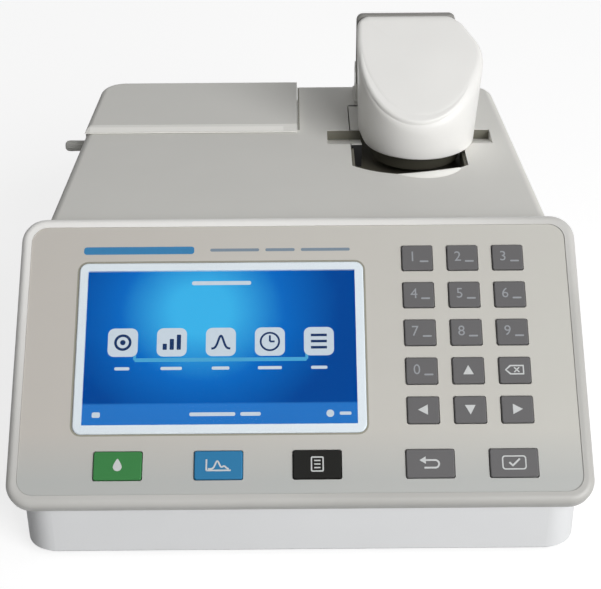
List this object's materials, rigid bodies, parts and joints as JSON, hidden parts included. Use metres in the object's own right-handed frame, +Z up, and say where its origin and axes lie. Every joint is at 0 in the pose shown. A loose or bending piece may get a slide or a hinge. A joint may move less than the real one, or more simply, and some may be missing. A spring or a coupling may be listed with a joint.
{
  "type": "microvolume spectrophotometer",
  "caption": "Bench spectrophotometer with a sloped screen and key panel, a hinged measuring arm over a sample pedestal, and a built-in paper strip printer.",
  "frame": {"origin": "under the middle of the whole box, on the surface the feet stand on", "axes": "+X to the user's right, +Y from the front panel to the rear sockets, +Z up"},
  "size_m": [0.2272, 0.2428, 0.1545],
  "materials": {
    "case_plastic": "fine satin moulded plastic, off-white",
    "panel_plastic": "satin moulded plastic, white",
    "arm_plastic": "satin moulded plastic, white",
    "overlay_film": "fine grained polyester film, warm gray",
    "ring_plastic": "white gloss",
    "screen_glass": "clear flat glass",
    "screen_module": "lit colour screen, blue",
    "key_gray": "satin gray key",
    "key_green": "satin green key",
    "key_blue": "satin blue key",
    "key_black": "satin black key",
    "stage_black": "matt black",
    "polished_steel": "ground and polished stainless steel",
    "zinc_steel": "zinc plated steel",
    "foot_rubber": "matt black rubber",
    "black_plastic": "matt black plastic",
    "knob_plastic": "matt gray plastic",
    "bucket_plastic": "gray moulded plastic",
    "circuit_board": "green solder mask",
    "black_metal": "black anodised aluminium",
    "paper": "white thermal paper"
  },
  "bodies": {
    "case": {"base_tray": "case_plastic", "upper_housing": "case_plastic", "rubber_feet": "foot_rubber", "case_screws": "zinc_steel", "front_panel": "panel_plastic", "panel_overlay": "overlay_film", "display_bezel": "ring_plastic", "display_glass": "screen_glass", "display_module": "screen_module", "keypad_board": "circuit_board", "key_switches": "black_plastic", "stage_insert": "stage_black", "stage_frame": "zinc_steel", "path_actuator": "zinc_steel", "arm_bracket": "case_plastic", "arm_hinge_pin": "polished_steel", "lid_hinge_pin": "polished_steel", "paper_bucket": "bucket_plastic", "printer_mechanism": "black_plastic", "dc_inlet": "black_plastic", "usb_socket": "zinc_steel", "memory_socket": "zinc_steel", "power_switch": "black_plastic", "main_board": "circuit_board", "board_components": "black_plastic", "spectrometer_bench": "black_metal", "spectrometer_cover": "black_metal", "bench_optics": "polished_steel", "flash_lamp": "black_metal"},
    "arm": {"arm_shell": "arm_plastic", "arm_base": "stage_black", "upper_pedestal": "polished_steel"},
    "lid": {"printer_lid": "case_plastic"},
    "feed_roller": {"platen_roller": "foot_rubber", "platen_shaft": "polished_steel", "feed_knob": "knob_plastic"},
    "paper": {"paper_roll": "paper", "paper_spindle": "black_plastic"},
    "rocker": {"power_rocker": "black_plastic"},
    "sample_pedestal": {"lower_pedestal": "polished_steel"},
    "key_1_body": {"key_1": "key_gray"},
    "key_2_body": {"key_2": "key_gray"},
    "key_3_body": {"key_3": "key_gray"},
    "key_4_body": {"key_4": "key_gray"},
    "key_5_body": {"key_5": "key_gray"},
    "key_6_body": {"key_6": "key_gray"},
    "key_7_body": {"key_7": "key_gray"},
    "key_8_body": {"key_8": "key_gray"},
    "key_9_body": {"key_9": "key_gray"},
    "key_0_body": {"key_0": "key_gray"},
    "key_up_body": {"key_up": "key_gray"},
    "key_clear_body": {"key_clear": "key_gray"},
    "key_left_body": {"key_left": "key_gray"},
    "key_down_body": {"key_down": "key_gray"},
    "key_right_body": {"key_right": "key_gray"},
    "key_green_body": {"key_green": "key_green"},
    "key_blue_body": {"key_blue": "key_blue"},
    "key_black_body": {"key_black": "key_black"},
    "key_gray_left_body": {"key_gray_left": "key_gray"},
    "key_gray_right_body": {"key_gray_right": "key_gray"}
  },
  "joints": [
    {"name": "arm_hinge", "type": "hinge", "parent": "case", "child": "arm", "pos_m": [0.0493, 0.10339, 0.112], "axis": [-1, 0, 0], "range_deg": [0, 85]},
    {"name": "lid_hinge", "type": "hinge", "parent": "case", "child": "lid", "pos_m": [-0.046, 0.11589, 0.0975], "axis": [-1, 0, 0], "range_deg": [0, 85]},
    {"name": "platen_feed", "type": "hinge", "parent": "case", "child": "feed_roller", "pos_m": [-0.046, 0.07299, 0.0906], "axis": [1, 0, 0], "continuous": true},
    {"name": "paper_spin", "type": "hinge", "parent": "case", "child": "paper", "pos_m": [-0.046, 0.09639, 0.073], "axis": [1, 0, 0], "continuous": true},
    {"name": "power_rock", "type": "hinge", "parent": "case", "child": "rocker", "pos_m": [0.058, 0.11789, 0.0171], "axis": [-1, 0, 0], "range_deg": [0, 16]},
    {"name": "path_slide", "type": "slide", "parent": "case", "child": "sample_pedestal", "axis": [0, 0, 1], "range_m": [0, 0.0008]},
    {"name": "key_1_press", "type": "slide", "parent": "case", "child": "key_1_body", "axis": [0, 0.6157, -0.788], "range_m": [0, 0.0006], "stiffness_N_per_m": 500, "springref_m": -0.0005},
    {"name": "key_2_press", "type": "slide", "parent": "case", "child": "key_2_body", "axis": [0, 0.6157, -0.788], "range_m": [0, 0.0006], "stiffness_N_per_m": 500, "springref_m": -0.0005},
    {"name": "key_3_press", "type": "slide", "parent": "case", "child": "key_3_body", "axis": [0, 0.6157, -0.788], "range_m": [0, 0.0006], "stiffness_N_per_m": 500, "springref_m": -0.0005},
    {"name": "key_4_press", "type": "slide", "parent": "case", "child": "key_4_body", "axis": [0, 0.6157, -0.788], "range_m": [0, 0.0006], "stiffness_N_per_m": 500, "springref_m": -0.0005},
    {"name": "key_5_press", "type": "slide", "parent": "case", "child": "key_5_body", "axis": [0, 0.6157, -0.788], "range_m": [0, 0.0006], "stiffness_N_per_m": 500, "springref_m": -0.0005},
    {"name": "key_6_press", "type": "slide", "parent": "case", "child": "key_6_body", "axis": [0, 0.6157, -0.788], "range_m": [0, 0.0006], "stiffness_N_per_m": 500, "springref_m": -0.0005},
    {"name": "key_7_press", "type": "slide", "parent": "case", "child": "key_7_body", "axis": [0, 0.6157, -0.788], "range_m": [0, 0.0006], "stiffness_N_per_m": 500, "springref_m": -0.0005},
    {"name": "key_8_press", "type": "slide", "parent": "case", "child": "key_8_body", "axis": [0, 0.6157, -0.788], "range_m": [0, 0.0006], "stiffness_N_per_m": 500, "springref_m": -0.0005},
    {"name": "key_9_press", "type": "slide", "parent": "case", "child": "key_9_body", "axis": [0, 0.6157, -0.788], "range_m": [0, 0.0006], "stiffness_N_per_m": 500, "springref_m": -0.0005},
    {"name": "key_0_press", "type": "slide", "parent": "case", "child": "key_0_body", "axis": [0, 0.6157, -0.788], "range_m": [0, 0.0006], "stiffness_N_per_m": 500, "springref_m": -0.0005},
    {"name": "key_up_press", "type": "slide", "parent": "case", "child": "key_up_body", "axis": [0, 0.6157, -0.788], "range_m": [0, 0.0006], "stiffness_N_per_m": 500, "springref_m": -0.0005},
    {"name": "key_clear_press", "type": "slide", "parent": "case", "child": "key_clear_body", "axis": [0, 0.6157, -0.788], "range_m": [0, 0.0006], "stiffness_N_per_m": 500, "springref_m": -0.0005},
    {"name": "key_left_press", "type": "slide", "parent": "case", "child": "key_left_body", "axis": [0, 0.6157, -0.788], "range_m": [0, 0.0006], "stiffness_N_per_m": 500, "springref_m": -0.0005},
    {"name": "key_down_press", "type": "slide", "parent": "case", "child": "key_down_body", "axis": [0, 0.6157, -0.788], "range_m": [0, 0.0006], "stiffness_N_per_m": 500, "springref_m": -0.0005},
    {"name": "key_right_press", "type": "slide", "parent": "case", "child": "key_right_body", "axis": [0, 0.6157, -0.788], "range_m": [0, 0.0006], "stiffness_N_per_m": 500, "springref_m": -0.0005},
    {"name": "key_green_press", "type": "slide", "parent": "case", "child": "key_green_body", "axis": [0, 0.6157, -0.788], "range_m": [0, 0.0006], "stiffness_N_per_m": 500, "springref_m": -0.0005},
    {"name": "key_blue_press", "type": "slide", "parent": "case", "child": "key_blue_body", "axis": [0, 0.6157, -0.788], "range_m": [0, 0.0006], "stiffness_N_per_m": 500, "springref_m": -0.0005},
    {"name": "key_black_press", "type": "slide", "parent": "case", "child": "key_black_body", "axis": [0, 0.6157, -0.788], "range_m": [0, 0.0006], "stiffness_N_per_m": 500, "springref_m": -0.0005},
    {"name": "key_gray_left_press", "type": "slide", "parent": "case", "child": "key_gray_left_body", "axis": [0, 0.6157, -0.788], "range_m": [0, 0.0006], "stiffness_N_per_m": 500, "springref_m": -0.0005},
    {"name": "key_gray_right_press", "type": "slide", "parent": "case", "child": "key_gray_right_body", "axis": [0, 0.6157, -0.788], "range_m": [0, 0.0006], "stiffness_N_per_m": 500, "springref_m": -0.0005}
  ],
  "couplings": [
    {"joint": "paper_spin", "follows": "platen_feed", "ratio": 0.31429}
  ]
}
